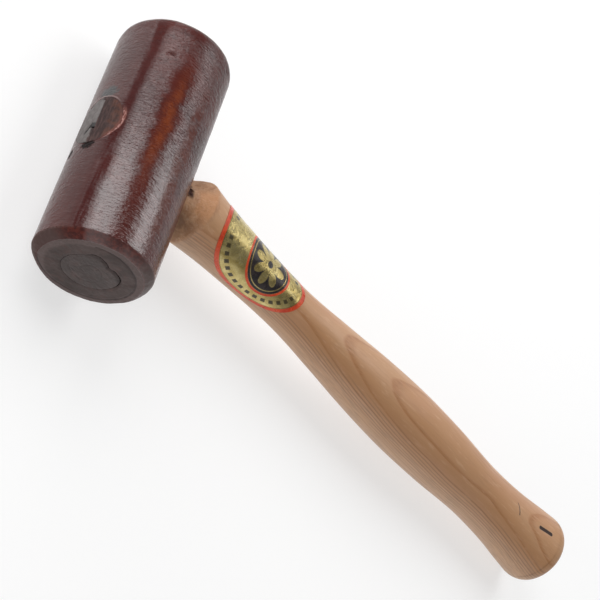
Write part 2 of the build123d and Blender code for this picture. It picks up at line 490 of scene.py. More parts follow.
# The turned handle, as (x, radius): its long profile, and the rasped shoulder between the eye and that
HANDLE_PROFILE = [
    (32.6, 13.3), (42.0, 12.2), (60.0, 10.95), (78.0, 10.15), (96.0, 10.05), (118.0, 11.45),
    (145.0, 13.5), (172.0, 14.65), (198.0, 14.35), (230.0, 12.9), (252.0, 13.7), (268.0, 15.25),
    (276.0, 16.0),
]
SHOULDER = [(19.0, 9.75), (22.0, 9.85), (24.5, 10.75), (27.0, 12.0), (29.2, 13.15), (30.3, 13.55)]
SHOULDER += HANDLE_PROFILE[:1]
SHOULDER_END = 32.2
BUTT_START, BUTT_END = 276.0, 283.4
BUTT = [(BUTT_START, 16.0), (279.9, 16.1), (281.4, 14.6), (282.1, 13.1)]
BUTT_DOME = [(282.1, 13.1), (283.0, 10.4), (283.35, 5.0), (283.38, 0.25)]

WEDGE_HALF, WEDGE_NEAR, WEDGE_FAR, WEDGE_TIP = 0.95, -3.0, 9.2, 4.0
# The chip in the tenon's end beside the wedge, as (y, z)
CHIP = (-3.6, -2.2)
# The dash pressed into the butt, as ends (x, azimuth) and half its width
DASH = ((261.4, 93.6), (269.1, 90.4), 0.76)
DASH_RADIUS = 15.0
LABEL_CENTRE, LABEL_HALF, LABEL_TURN = 64.2, 25.8, 99.0
LABEL_THICK, LABEL_BURIED = 0.13, 0.12


def handle_radius(x):
    """The handle's radius along its axis, from the ridge at its shoulder to the butt."""
    xs, rs = zip(*HANDLE_PROFILE)
    return hermite(xs, rs, x)


def head_surface(z, sunk):
    """Place along X of the head's surface round the eye."""
    return -np.sqrt(HEAD_RADIUS**2 - np.asarray(z) ** 2) + sunk


def tenon_end(y, z):
    """Place along X of the tenon's end: trimmed flush below the wedge, and a sunken facet above it."""
    surface = head_surface(z, 0.19)
    across = z - CHIP[1] - 0.6 * (y - CHIP[0])
    chip = 0.5 * np.exp(-(((y - CHIP[0]) / 2.6) ** 2) - (across / 0.75) ** 2)
    sunk = 0.10 + 0.9 * smooth(z, 0.0, 7.0) * smooth(y, 9.0, 2.0) + 0.25 * smooth(y, 2.0, -8.0)
    return surface + np.where(z < 0, chip, sunk)


def handle_grid(columns=208):
    """Grid of the handle from the tenon's end to the butt."""
    azimuth = np.linspace(0, 360, columns, endpoint=False)
    angle = np.radians(azimuth)
    sin = np.sin(angle)
    rows = []
    # tenon's end; the fold between the facets runs along the columns at 0 and 180 degrees
    for radius in np.linspace(0, 1, 15)[1:] * (EYE_TOP - EYE_CLEAR - 0.12):
        y, z = radius * np.cos(angle), radius * sin
        grainy = fractal(flat(y / 2.5, z), 61, 2) * 0.06
        x = tenon_end(y, z + np.where(sin >= 0, 1e-6, -1e-6)) + np.maximum(grainy, -0.05)
        rows.append(np.stack([x, y, z], -1))
    # tenon in the eye
    start = rows[-1][:, 0] + 0.15
    skirt = np.sqrt(HEAD_RADIUS**2 - (9.8 * sin) ** 2) - 0.12
    for share in np.linspace(0, 1, 12):
        x = start + (skirt - start) * share
        rows.append(about_handle(x, eye_radius(x) - EYE_CLEAR, angle))
    # rasped shoulder
    xs, rs = zip(*SHOULDER)
    for share in np.linspace(0, 1, 25):
        x = skirt + 0.14 + (SHOULDER_END - skirt - 0.14) * share
        rows.append(neck_row(x, hermite(xs, rs, x), azimuth))
    # long profile, then the butt
    for x in np.concatenate([np.arange(32.9, BUTT_START, 1.12), [275.6]]):
        rows.append(body_row(x, handle_radius(x), azimuth))
    shares = np.linspace(0, 1, 13)
    for x, radius in [*bezier(BUTT, shares), *bezier(BUTT_DOME, shares[1:])]:
        rows.append(body_row(x, radius, azimuth))
    return np.array(rows)


def neck_row(x, radius, azimuth):
    """One row of the shoulder, with rasp marks and the broken edge against the head at the top."""
    angle = np.radians(azimuth)
    here = about_handle(x, radius, angle)
    share = smooth(x, 31.8, 29.8)
    rasp = fractal(here / np.array([1.9, 3.2, 3.2]), 71, 3) * 0.15
    scoop = 0.35 * smooth(noise(here / 5.5, 75), 0.0, 0.8)
    scoop = scoop + 3.3 * bump(azimuth, 48, 40) * smooth(x, 32.5, 24.0)
    broken = smooth(fractal(here / 1.1, 77, 2), -0.2, 0.4) * bump(azimuth, 70, 34) * smooth(x, 24.0, 21.0)
    radius = radius - share * (0.12 + np.abs(rasp) * 0.8 + scoop) - broken * 1.3
    return about_handle(x, radius, angle)


def body_row(x, radius, azimuth):
    """One row of the turned handle: faint turning waves, and the dash pressed into the butt."""
    angle = np.radians(azimuth)
    here = about_handle(x, radius, angle)
    depth = 0.05 + fractal(here / np.array([22.0, 7.0, 7.0]), 81, 2) * 0.05
    (x0, a0), (x1, a1), half = DASH
    end = np.array([x1 - x0, (a1 - a0) * DEGREE * DASH_RADIUS])
    off = np.stack([x - x0 + 0 * azimuth, (azimuth - a0) * DEGREE * radius], -1)
    t = np.clip(off @ end / (end @ end), 0, 1)
    away = np.hypot(*(off - t[:, None] * end).T)
    depth = depth + 0.16 * smooth(away, half + 0.35, half - 0.2)
    return about_handle(x, radius - depth, angle)


def make_bar(name, ends, sides, halves, rows=14, trim=None):
    """Tapered flat bar along X, as a closed grid round its four sides."""
    across = np.linspace(*sides, 10)
    loop = [(y, -1) for y in across] + [(y, 1) for y in across[::-1]]
    grid = []
    for share in np.linspace(0, 1, rows):
        half = halves[0] + (halves[1] - halves[0]) * share
        for y, side in loop:
            start = trim(y, side * half) if trim else ends[0]
            grid.append((start + (ends[1] - start) * share, y, side * half))
    n, last = len(loop), (rows - 1) * len(loop)
    faces = sweep_faces(rows, n, False)
    for base in (0, last):
        for j in range(n // 2 - 1):
            quad = (base + j, base + j + 1, base + n - 2 - j, base + n - 1 - j)
            faces.append(quad if base else quad[::-1])
    return make_object(name, np.array(grid, float), faces, 35)


def make_slot_tool():
    """Space that the wedge and its split take out of the tenon."""
    return make_bar("slot_tool", (-30.0, WEDGE_TIP), (WEDGE_NEAR - 1.0, WEDGE_FAR + 0.02), (1.13, 0.27))


def make_wedge():
    """Wedge whose end is trimmed with the lower facet of the tenon."""

    def trim(y, z):
        rough = float(fractal(np.array([[y / 1.5, z / 0.7, 3.0]]), 91, 2)[0]) * 0.05
        worn = 0.35 * smooth(z, 0.3, 1.0) + 0.3 * math.exp(-(((y + 2.6) / 1.4) ** 2))
        return float(head_surface(z, 0.19)) + max(rough, -0.03) + worn

    sides, halves = (WEDGE_NEAR, WEDGE_FAR), (WEDGE_HALF, 0.25)
    return make_bar("eye_wedge_end", (-HEAD_RADIUS, WEDGE_TIP), sides, halves, trim=trim)


def make_label(rings=44, columns=240):
    """Oval foil wrapped round the handle, with a thin edge all round."""
    angle = np.linspace(0, 2 * math.pi, columns, endpoint=False)
    top, under = [], []
    for share in np.linspace(0, 1, rings + 1)[1:]:
        along = LABEL_CENTRE + LABEL_HALF * share * np.cos(angle)
        around = np.radians(LABEL_TURN * share * np.sin(angle))
        radius = handle_radius(along)
        here = np.stack([along, radius * np.sin(around), radius * np.cos(around)], -1)
        wrinkle = 0.02 * noise(here / np.array([3.0, 4.0, 4.0]), 95)
        height = LABEL_THICK * (0.55 + 0.45 * smooth(share, 1.03, 0.97)) + wrinkle
        for rows, r in ((top, radius + height), (under, radius - LABEL_BURIED)):
            rows.append(np.stack([along, -r * np.sin(around), r * np.cos(around)], -1))
    middle = handle_radius(np.array([LABEL_CENTRE]))[0]
    poles = [(LABEL_CENTRE, 0, middle + LABEL_THICK), (LABEL_CENTRE, 0, middle - LABEL_BURIED)]
    return make_swept("foil_label", np.array(top + under[::-1]), poles=poles, sharp=50)


# --- Materials ---


def both_ways(operation):
    """Two methods of a signal: with the other value on its right, and on its left."""
    return (
        lambda one, other: one.graph.math(operation, one, other),
        lambda one, other: one.graph.math(operation, other, one),
    )


class Signal:
    """A node's output, which can be added, subtracted, multiplied, and divided by a number."""

    __add__, __radd__ = both_ways("ADD")
    __sub__, __rsub__ = both_ways("SUBTRACT")
    __mul__, __rmul__ = both_ways("MULTIPLY")

    def __init__(self, graph, socket):
        self.graph, self.socket = graph, socket

    def __truediv__(self, number):
        return self * (1 / number)

    def __neg__(self):
        return self * -1.0

    def __abs__(self):
        return self.graph.math("ABSOLUTE", self)

    def ramp(self, low, high, out_low=0.0, out_high=1.0):
        """Smooth step from one value, at low, to another, at high."""
        values = (self, low, high, out_low, out_high)
        return self.graph.out("ShaderNodeMapRange", values, interpolation_type="SMOOTHSTEP")

    def band(self, centre, half, soft):
        """1 within half of the centre, falling to 0 over the soft distance."""
        return abs(self - centre).ramp(half + soft, half)


class Graph:
    """Short calls for the nodes of a material or a world. A value is a number, a tuple or a signal."""

    def __init__(self, owner):
        self.owner, self.colour = owner, None
        owner.use_nodes = True
        self.nodes, self.links = owner.node_tree.nodes, owner.node_tree.links
        self.nodes.clear()

    def node(self, kind, inputs=(), **settings):
        """New node; its inputs come by place, or by place or name in a dictionary."""
        made = self.nodes.new(kind)
        for key, value in settings.items():
            setattr(made, key, value)
        named = inputs if isinstance(inputs, dict) else dict(enumerate(inputs))
        for key, value in named.items():
            socket = made.inputs[key]
            if isinstance(value, Signal):
                self.links.new(value.socket, socket)
            else:
                socket.default_value = (*value, 1.0) if socket.type == "RGBA" else value
        return made

    def out(self, *args, output=0, **settings):
        """Signal that leaves a new node."""
        return Signal(self, self.node(*args, **settings).outputs[output])

    def math(self, operation, *values):
        return self.out("ShaderNodeMath", values, operation=operation)

    def most(self, a, b):
        return self.math("MAXIMUM", a, b)

    def least(self, a, b):
        return self.math("MINIMUM", a, b)

    def cosine(self, angle):
        return self.math("COSINE", angle)

    def length(self, a, b):
        return self.math("SQRT", a * a + b * b)

    def mix(self, share, a, b):
        """Colour a, with a share of colour b over it."""
        values = {"Factor": share, 6: a, 7: b}
        return self.out("ShaderNodeMix", values, output=2, data_type="RGBA", clamp_factor=True)

    def paint(self, share, tone):
        """Lays a share of the tone over the colour so far."""
        self.colour = self.mix(share, self.colour, tone)

    def vector(self, x, y, z):
        return self.out("ShaderNodeCombineXYZ", (x, y, z))

    def split(self, vector):
        return [Signal(self, out) for out in self.node("ShaderNodeSeparateXYZ", (vector,)).outputs]

    def scaled(self, vector, by):
        return self.out("ShaderNodeVectorMath", (vector, by), operation="MULTIPLY")

    def noise(self, vector, scale, detail=3, rough=0.6, distortion=0.0):
        """Noise from 0 to 1; the scale may differ from axis to axis."""
        if isinstance(scale, tuple):
            vector, scale = self.scaled(vector, scale), 1.0
        values = {"Vector": vector, "Scale": scale, "Detail": detail, "Roughness": rough}
        return self.out("ShaderNodeTexNoise", {**values, "Distortion": distortion})

    def cells(self, vector, scale, feature="F1"):
        return self.out("ShaderNodeTexVoronoi", {"Vector": vector, "Scale": scale}, feature=feature)

    def coords(self, kind):
        return self.out("ShaderNodeTexCoord", output=kind)

    def mallet(self):
        """Position in the mallet's frame, in mm."""
        values = {
            "Vector": self.coords("Object"),
            "Location": -(Matrix.Rotation(-TILT, 3, "Y") @ HEAD_CENTRE) / MM,
            "Rotation": (0, -TILT, 0),
            "Scale": (1 / MM,) * 3,
        }
        return self.out("ShaderNodeMapping", values, vector_type="POINT")

    def bumped(self, height, distance, strength):
        """Normal from a height, with the distance in mm that a height of 1 stands for."""
        values = {"Height": height, "Distance": distance * MM, "Strength": strength}
        return self.out("ShaderNodeBump", values)

    def surface(self, **values):
        """Finished material."""
        inputs = {key.replace("_", " "): value for key, value in values.items()}
        self.node("ShaderNodeOutputMaterial", (self.out("ShaderNodeBsdfPrincipled", inputs),))
        return self.owner


def material_graph(name):
    """Graph of a new material."""
    return Graph(bpy.data.materials.new(name))


# Streaks painted round the head, as azimuths in degrees: the red zone, its middle painted brighter as lit
# lacquer, between two painted highlight bands, and two stripes of painted shade
RED_AT, HIGHLIGHT_AT = 111, (132, 94)
SHADE_STRIPE_AT, LOW_SHADE_STRIPE_AT = 151, 82
# Pith of the wood, about which the rings run: distance, azimuth, and lean in Y and Z along the handle
PITH_AWAY, PITH_AZIMUTH, PITH_LEAN = 46, 272 * DEGREE, (0.006, -0.022)
# Distance from the pith at which a ring starts, and the widths of the broad and the narrow rings
RING_START, RING_WIDTH, NARROW_RING = 59.8, 3, 1.05
# Middle of the scratch on the butt, as (x, azimuth)
SCRATCH = (243.6, 94)
# Two greys painted on the wood that was trimmed flush in the eye and lacquered over: a painted reflection
# on its flat lower facet
TRIMMED_SHEEN = ((0.105, 0.09, 0.086), (0.15, 0.132, 0.128))
# The label's print: width from middle to edge that its rims are measured in, dashes of the chain,
# place and radius of the dark panel, petals of its rosette, and how metallic bare foil is
LABEL_INSET, LABEL_DASHES = 21, 34
PANEL_AT, PANEL_RADIUS, PETALS = 3.2, 11.3, 8
FOIL_METAL = 0.85


def azimuth_nodes(g, across, up):
    """Azimuth in degrees from the first axis toward the upward one, with its break underneath."""
    return g.math("ARCTAN2", -across, up) / DEGREE + 90


def hide_material():
    """Dark red lacquer over rolled hide, worn to bare grey-brown hide on the striking faces."""
    g = material_graph("lacquered_hide")
    p = g.mallet()
    x, y, z = g.split(p)
    radius = g.length(x, z)
    azimuth = azimuth_nodes(g, x, z)

    broad = g.noise(p, 0.055, 3, 0.55, 0.4)
    middle = g.noise(p, 0.28, 4, 0.6)
    fine = g.noise(p, 1.9)
    streak = g.noise(p, (0.34, 1.35, 0.34), 3, 0.6, 0.3)

    g.colour = g.mix(broad.ramp(0.38, 0.64), (0.052, 0.011, 0.01), (0.08, 0.015, 0.012))
    g.paint(middle.ramp(0.48, 0.72) * 0.45, (0.038, 0.011, 0.011))
    wander = azimuth + (broad - 0.5) * 16
    red = (wander + (middle - 0.5) * 16).band(RED_AT + 0.5, 2.2, 14)
    red = red * (y.ramp(-46, -20, 0.5, 1) * y.ramp(40, 18, 0.25, 1))
    # painted light: the middle of the red zone is painted a brighter orange, as lacquer lit between the
    # highlight bands
    lit_glow = y.band(5, 3, 32) * wander.band(RED_AT, 0, 9)
    lit_glow = lit_glow * (middle + fine * 0.8).ramp(0.7, 1, 0.25, 1)
    tone = g.mix(lit_glow, (0.082, 0.015, 0.01), (0.185, 0.04, 0.012))
    g.paint(red * 0.9, tone)
    # painted reflection: greyer lacquer toward the head's lower left side, standing for the pale
    # surroundings it reflects
    g.paint(wander.ramp(150, 164, 0, 0.55), (0.082, 0.04, 0.038))
    # long dark streaks of painted shade, where the lacquer reflects no lamp: one above the eye and one
    # below the lower highlight band
    drawn = g.noise(p, (1.1, 0.11, 1.1))
    shade_stripe = wander.band(SHADE_STRIPE_AT, 1.8, 11) * drawn.ramp(0.3, 0.6, 0.75, 1)
    shade_stripe = shade_stripe * y.ramp(-10, 20, 1, 0.7)
    g.paint(shade_stripe * 0.75, (0.055, 0.011, 0.01))
    # painted shade: the lower stripe, a darker red below the lower highlight band
    lower = wander.band(LOW_SHADE_STRIPE_AT, 3, 6) * middle.ramp(0.35, 0.6, 0.3, 1)
    lower = lower * (y.ramp(-45, -34) * y.ramp(10, 32, 1, 0.3))
    g.paint(lower * 0.8, (0.105, 0.028, 0.018))
    g.paint(streak.ramp(0.6, 0.78) * 0.45, (0.022, 0.009, 0.009))
    # painted highlight: pinkish-grey streaks in the two bands where the lacquer reflects the lamps
    highlight_bands = g.most(wander.band(HIGHLIGHT_AT[0], 9, 8), wander.band(HIGHLIGHT_AT[1], 5, 5))
    g.paint(streak.ramp(0.46, 0.3) * highlight_bands * 0.22, (0.25, 0.15, 0.14))
    specks = g.cells(p, 0.62).ramp(0.16, 0.08)
    g.paint(specks * 0.5, (0.02, 0.01, 0.01))
    pale = g.cells(g.scaled(p, (1, 0.8, 1)), 0.5).ramp(0.085, 0.03) * fine.ramp(0.5, 0.62)
    g.paint(pale * 0.55, (0.42, 0.3, 0.26))

    # near rim: dark red over the top, greyer at both sides
    edge = swing_nodes(g, NEAR_EDGE, azimuth)
    depth_end = swing_nodes(g, NEAR_DEPTH, azimuth)
    past_edge = radius + (middle - 0.5) * 0.7 - edge
    up_side = y + HALF_HEAD - depth_end
    rim = past_edge.ramp(0, 0.55) * up_side.ramp(0.25, -0.25)
    mottle = g.noise(p, 0.7, 4, 0.65).ramp(0.4, 0.62)
    rim_tone = g.mix(mottle, (0.056, 0.015, 0.013), (0.104, 0.025, 0.019))
    rim_tone = g.mix(azimuth.band(122, 34, 26), (0.078, 0.047, 0.043), rim_tone)
    g.paint(rim, rim_tone)
    # painted highlight: a pale line along the edge where the side turns into the near rim
    turn = up_side.band(0, 0.12, 0.4) * radius.ramp(21, 21.6) * y.ramp(-40, -44)
    turn = turn * abs(azimuth - 118).ramp(20, 50)
    g.paint(turn * fine.ramp(0.35, 0.6, 0, 0.35), (0.2, 0.13, 0.12))

    # marks by the eye: a grey smudge, a painted highlight on the torn upper lip, a darker band, painted
    # shade in the crack at its near end, a pale line on the far lip, and darker red inside the eye
    side = x.ramp(-14, -17)
    eye = g.length(y, z)
    torn = g.noise(p, (0.8, 0.5, 0.8), 3, 0.6, 1.5)
    smudge = spot(g, (y, z), (12.4, 0.9), (2.6, 4.2), torn)
    g.paint(side * smudge * 0.9, (0.05, 0.051, 0.051))
    # painted highlight: the torn lip on the eye's upper near side painted pink, where it catches the lamp
    ring = side * (eye + (torn - 0.5) * 1.8).band(11, 0.35, 0.7)
    upper_near = z.ramp(5, 7.5) * y.ramp(6, 2)
    lip_highlight_tone = g.mix(torn.ramp(0.45, 0.6), (0.17, 0.05, 0.038), (0.46, 0.25, 0.22))
    g.paint(ring * upper_near * 0.85, lip_highlight_tone)
    bruise = eye.band(10.6, 0.7, 0.7) * (z.ramp(-1, 1) * z.ramp(8, 6))
    bruise = side * bruise * y.ramp(-3, -5)
    g.paint(bruise * 0.85, (0.06, 0.014, 0.012))
    # painted shade: near black in the crack at the eye's near end, and a second near-black spot lower down
    # toward the near end
    crack_shade_and_spot = spot(g, (y, z), (-11.5, 1), (2.1, 3.1), torn)
    crack_shade_and_spot = g.most(crack_shade_and_spot, spot(g, (y, z), (-12.8, -8.2), (1.8, 1.6), torn))
    g.paint(side * crack_shade_and_spot * 0.95, (0.01, 0.007, 0.007))
    far_lip = (eye + (torn - 0.5) * 0.8).band(10.7, 0.14, 0.25) * y.ramp(7, 9.5)
    g.paint(side * far_lip * 0.6, (0.26, 0.17, 0.16))
    inside = eye.ramp(10.3, 10.27) * abs(y).ramp(12, 11)
    g.paint(inside * 0.6, (0.1, 0.035, 0.026))

    # worn faces
    near_face = past_edge.ramp(0.25, -0.15) * y.ramp(-44, -46)
    far_face = radius.ramp(18.9, 18.3) * y.ramp(44, 46)
    face = g.most(near_face, far_face)
    far_half = y.ramp(-1, 1)
    past = past_edge * (1 - far_half) + (radius - 17.5) * far_half
    bare = face_colour(g, p, past)
    line = g.math("FLOORED_MODULO", LAYER_AZIMUTH - azimuth, 360) / LAYER_TURN + LAYER_RADIUS
    line = (radius - line).band(0, 0.15, 0.45) * middle.ramp(0.35, 0.55, 0.35, 0.75)
    bare = g.mix(line * near_face, bare, (0.036, 0.024, 0.023))
    g.paint(face, bare)

    rough = middle.ramp(0.3, 0.7, 0.13, 0.2) + fine.ramp(0.45, 0.7) * 0.08
    rough = rough + g.most(face, rim * 0.7) * 0.36

    pebbles = g.cells(g.scaled(p, (0.85, 1.7, 0.85)), 1, "SMOOTH_F1")
    ripple = g.noise(p, (0.42, 1.5, 0.42), 3, 0.6, 0.5)
    height = ripple * 0.65 + pebbles * 0.42 + fine * 0.1
    height = height * (face.ramp(0, 1, 1, 0.45) * y.ramp(-34, 8, 0.68, 1.4))
    # the lacquer is glossiest near the near end, and dull where it is dark, scuffed or thin
    dull = g.most(shade_stripe * 0.84, g.most(red * fine.ramp(0.35, 0.65, 0.84, 0.52), lower * 0.45))
    dull = g.most(dull, azimuth.ramp(150, 159) * y.ramp(-30, 12, 0.7, 0.5))
    dull = g.most(dull, azimuth.ramp(76, 62, 0, 0.25))
    dull = dull + y.ramp(-28, 18, 0, 0.42) * azimuth.ramp(158, 148)
    dull = dull + y.ramp(41, 46, 0, 0.3) + rim * 0.28
    dull = dull + side * (crack_shade_and_spot * 0.6 + bruise * 0.5)
    gloss = g.most(0.9 - dull, 0.05) * (1 - face) + 0.25 * face
    return g.surface(
        Base_Color=g.colour,
        Roughness=rough + side * crack_shade_and_spot * 0.3,
        Normal=g.bumped(height, 0.38, 0.95),
        Specular_IOR_Level=gloss,
    )


def spot(g, at, centre, half, ragged):
    """Ragged oval spot: 1 inside, 0 outside."""
    away = g.length(*((value - c) / h for value, c, h in zip(at, centre, half)))
    return (away + (ragged - 0.5) * 1.6).ramp(1.2, 0.75)


def swing_nodes(g, terms, azimuth):
    """The same swing round the head as swing(), in nodes."""
    middle, once, at, twice, second_at = terms
    first = g.cosine((azimuth - at) * DEGREE)
    second = g.cosine((azimuth - second_at) * (2 * DEGREE))
    return first * once + second * twice + middle


def face_colour(g, p, past_edge):
    """Bare, rubbed end of the roll of hide, with a paler ring worn inside its edge."""
    flat = g.scaled(p, (1, 0.2, 1))
    cloud = g.noise(flat, 0.16, 4, 0.6, 0.5)
    grain = g.noise(flat, 1.3, 4, 0.65)
    colour = g.mix(cloud.ramp(0.35, 0.65), (0.047, 0.031, 0.028), (0.069, 0.045, 0.041))
    colour = g.mix(grain.ramp(0.5, 0.72) * 0.5, colour, (0.045, 0.032, 0.031))
    ember = g.noise(flat, 0.22, 3, 0.6, 0.8)
    colour = g.mix(ember.ramp(0.54, 0.7) * 0.45, colour, (0.085, 0.044, 0.038))
    ring = (past_edge + (cloud - 0.5) * 1.6).band(-0.7, 0.9, 1.7)
    return g.mix(ring * grain.ramp(0.3, 0.6, 0.35, 0.75), colour, (0.12, 0.083, 0.078))


def core_material():
    """Bare hide of the core's ends."""
    g = material_graph("hide_core")
    p = g.mallet()
    x, y, z = g.split(p)
    radius = g.length(x, z)
    g.colour = face_colour(g, p, radius - 18.5)
    layers = g.noise(p, (0.32, 0.2, 1.25), 3, 0.6, 1.2)
    g.paint(layers.ramp(0.56, 0.7) * 0.55, (0.034, 0.025, 0.024))
    g.paint(layers.ramp(0.42, 0.3) * 0.2, (0.11, 0.082, 0.077))
    g.paint(0.16, (0.022, 0.016, 0.015))
    g.paint(abs(y).ramp(49.3, 48.8), (0.035, 0.02, 0.016))
    height = g.noise(p, 1.1, 4, 0.65) * 0.6 + layers * 0.5
    return g.surface(
        Base_Color=g.colour,
        Roughness=layers.ramp(0.3, 0.7, 0.5, 0.68),
        Normal=g.bumped(height, 0.16, 0.8),
        Specular_IOR_Level=0.45,
    )


def wood_rings(g, p):
    """Distance from the pith in mm, a little uneven; the pith lies so that the upper side is flat-sawn."""
    x, y, z = g.split(p)
    wobble = g.noise(p, (0.02, 0.07, 0.07), 2, 0.5)
    drift = g.noise(p, (0.006, 0.02, 0.02), 1, 0.5)
    side = y - PITH_AWAY * math.cos(PITH_AZIMUTH) - x * PITH_LEAN[0]
    rise = z - PITH_AWAY * math.sin(PITH_AZIMUTH) - x * PITH_LEAN[1]
    return g.length(side, rise) + (wobble - 0.5) * 1.6 + (drift - 0.5) * 2


def wood_material():
    """Pinkish-tan ash, with porous rings, satin varnish, dirt rubbed into the rasped shoulder."""
    g = material_graph("ash_wood")
    p = g.mallet()
    x, y, z = g.split(p)
    radius = g.length(y, z)
    azimuth = azimuth_nodes(g, y, z)
    distance = wood_rings(g, p)
    rings = g.math("FRACT", (distance - RING_START) / RING_WIDTH)
    early = rings.ramp(0, 0.05) * rings.ramp(0.26, 0.07)
    late = rings.ramp(1, 0.2)
    narrow = g.math("FRACT", distance / NARROW_RING)
    narrow = narrow.ramp(0, 0.15) * narrow.ramp(0.6, 0.2)
    fibres = g.noise(p, (0.045, 1.5, 1.5), 4, 0.6)
    pores = g.noise(p, (0.16, 3.4, 3.4), 2, 0.6)
    cloud = g.noise(p, (0.01, 0.06, 0.06), 3, 0.55)
    pink = g.noise(p, (0.02, 0.11, 0.11), 3, 0.55)

    g.colour = g.mix(cloud.ramp(0.35, 0.65), (0.5, 0.286, 0.155), (0.472, 0.249, 0.12))
    g.paint(pink.ramp(0.48, 0.7) * 0.6, (0.51, 0.283, 0.169))
    g.paint(late * 0.24, (0.42, 0.195, 0.08))
    g.paint(early * pores.ramp(0.3, 0.6, 0.35, 0.62), (0.34, 0.135, 0.048))
    g.paint(fibres.ramp(0.45, 0.75) * 0.25, (0.3, 0.165, 0.085))
    g.paint(pores.ramp(0.56, 0.72) * early * 0.4, (0.18, 0.09, 0.045))
    flecks = g.noise(p, (0.1, 0.75, 0.75), 3, 0.65).ramp(0.55, 0.72)
    g.paint(flecks * 0.3, (0.66, 0.43, 0.29))
    # browner streak along the middle of the near side, with finer lines below it
    run = azimuth + (cloud - 0.5) * 40
    streak = run.band(146, 5, 20) * x.ramp(60, 110, 0.2, 1)
    g.paint(streak * 0.32, (0.36, 0.17, 0.07))
    below = run.ramp(156, 172) * fibres.ramp(0.42, 0.66)
    # painted light: the lower side painted greyer and less saturated, standing for light from the pale
    # floor
    g.paint(run.ramp(150, 185) * 0.35, (0.46, 0.31, 0.2))
    g.paint(below * 0.4, (0.25, 0.155, 0.1))
    close = narrow * run.band(163, 9, 12) * cloud.ramp(0.3, 0.6, 0.3, 0.62)
    g.paint(close, (0.23, 0.125, 0.07))

    # end grain of the butt
    g.paint(x.ramp(281, 282.8) * 0.35, (0.3, 0.175, 0.095))

    # shoulder: raw rasped wood, orange near the ridge, dirty low down
    raw = (x + (pink - 0.5) * 6).ramp(33.5, 30.5)
    blotch = g.noise(p, 0.32, 4, 0.65, 0.6)
    raw_tone = g.mix(blotch.ramp(0.36, 0.66), (0.48, 0.265, 0.14), (0.35, 0.17, 0.082))
    raw_tone = g.mix(g.noise(p, 0.75).ramp(0.5, 0.68) * 0.5, raw_tone, (0.56, 0.37, 0.245))
    low = azimuth.band(172, 16, 22) * x.ramp(31, 26)
    raw_tone = g.mix(low * blotch.ramp(0.3, 0.6, 0.35, 0.9), raw_tone, (0.22, 0.112, 0.058))
    orange = azimuth.band(100, 16, 26) * x.band(28.5, 2, 2.2)
    raw_tone = g.mix(orange * 0.6, raw_tone, (0.52, 0.24, 0.1))
    raw_tone = g.mix(fibres.ramp(0.5, 0.7) * 0.3, raw_tone, (0.28, 0.13, 0.062))
    g.paint(raw, raw_tone)
    # painted shade: near black in the crack where the shoulder meets the head at the top
    neck_crack_shade = (x + (blotch - 0.5) * 2.6).ramp(23.7, 22.3) * azimuth.band(74, 26, 12)
    g.paint(neck_crack_shade * 0.95, (0.03, 0.007, 0.007))
    fleck = spot(g, (x, azimuth), (23.2, 50), (0.9, 6), blotch)
    g.paint(fleck, (0.008, 0.006, 0.006))

    # trimmed tenon end in the eye, lacquered over: its lower facet greyed by a painted reflection, its
    # sunken upper facet brown
    end = x.ramp(-15, -17)
    sheen_grey = g.mix(g.noise(p, 0.6, 4, 0.6).ramp(0.4, 0.65), *TRIMMED_SHEEN)
    cut_grain = g.noise(g.scaled(p, (1, 0.35, 1.6)), 0.8, 3, 0.6)
    brown = g.mix(cut_grain.ramp(0.4, 0.65), (0.042, 0.026, 0.025), (0.08, 0.046, 0.042))
    ember = z.band(7, 1.2, 2) * blotch.ramp(0.4, 0.6)
    brown = g.mix(ember * 0.45, brown, (0.13, 0.05, 0.03))
    divide = (z + (blotch - 0.5) * 2).ramp(-0.6, 0.3)
    g.paint(end, g.mix(divide, sheen_grey, brown))
    # painted shade: the chip beside the wedge's near end painted near black, as shade in the split
    off = y - CHIP[0]
    away = g.length(off / 2.3, (z - CHIP[1] - off * 0.6) / 0.62)
    chip = end * (away + (blotch - 0.5) * 2.2).ramp(1.25, 0.75)
    g.paint(chip * 0.95, (0.01, 0.008, 0.008))
    rust = end * (radius + (blotch - 0.5) * 2.5).band(9.8, 0.3, 0.8) * z.ramp(4, 7)
    g.paint(rust * y.ramp(5, 0, 0.2, 0.8), (0.17, 0.062, 0.048))

    # dark dash pressed into the butt, and a scratch
    (x0, a0), (x1, a1), half = DASH
    along, arc = x - x0, (azimuth - a0) * DEGREE * radius
    rise = (a1 - a0) * DEGREE * DASH_RADIUS
    length = math.hypot(x1 - x0, rise)
    ux, ua = (x1 - x0) / length, rise / length
    t = g.least(g.most(along * ux + arc * ua, 0), length)
    away = g.length(along - t * ux, arc - t * ua)
    ink = (away + (pores - 0.5) * 0.35).ramp(half + 0.22, half - 0.12)
    g.paint(ink, (0.026, 0.012, 0.011))
    bend = x - (SCRATCH[0] + (azimuth - 84) * 0.165)
    bend = bend - (1 - g.math("POWER", (azimuth - SCRATCH[1]) / 10, 2)) * 0.5
    scratch = abs(bend).ramp(0.6, 0.15) * azimuth.band(SCRATCH[1], 8.5, 2)
    g.paint(scratch * 0.9, (0.09, 0.046, 0.028))

    rough = fibres.ramp(0.3, 0.7, 0.36, 0.46) + raw * 0.25
    rough = rough + end * 0.05 + ink * 0.3
    height = fibres * 0.22 - pores * early * 0.5
    height = height + g.noise(p, 1.3, 4, 0.65) * g.most(raw, end) * 1.3
    height = height - scratch * 0.6
    return g.surface(
        Base_Color=g.colour,
        Roughness=rough,
        Normal=g.bumped(height, 0.16, 0.7),
        Specular_IOR_Level=0.5 - g.most(end * divide, neck_crack_shade) * 0.35,
    )


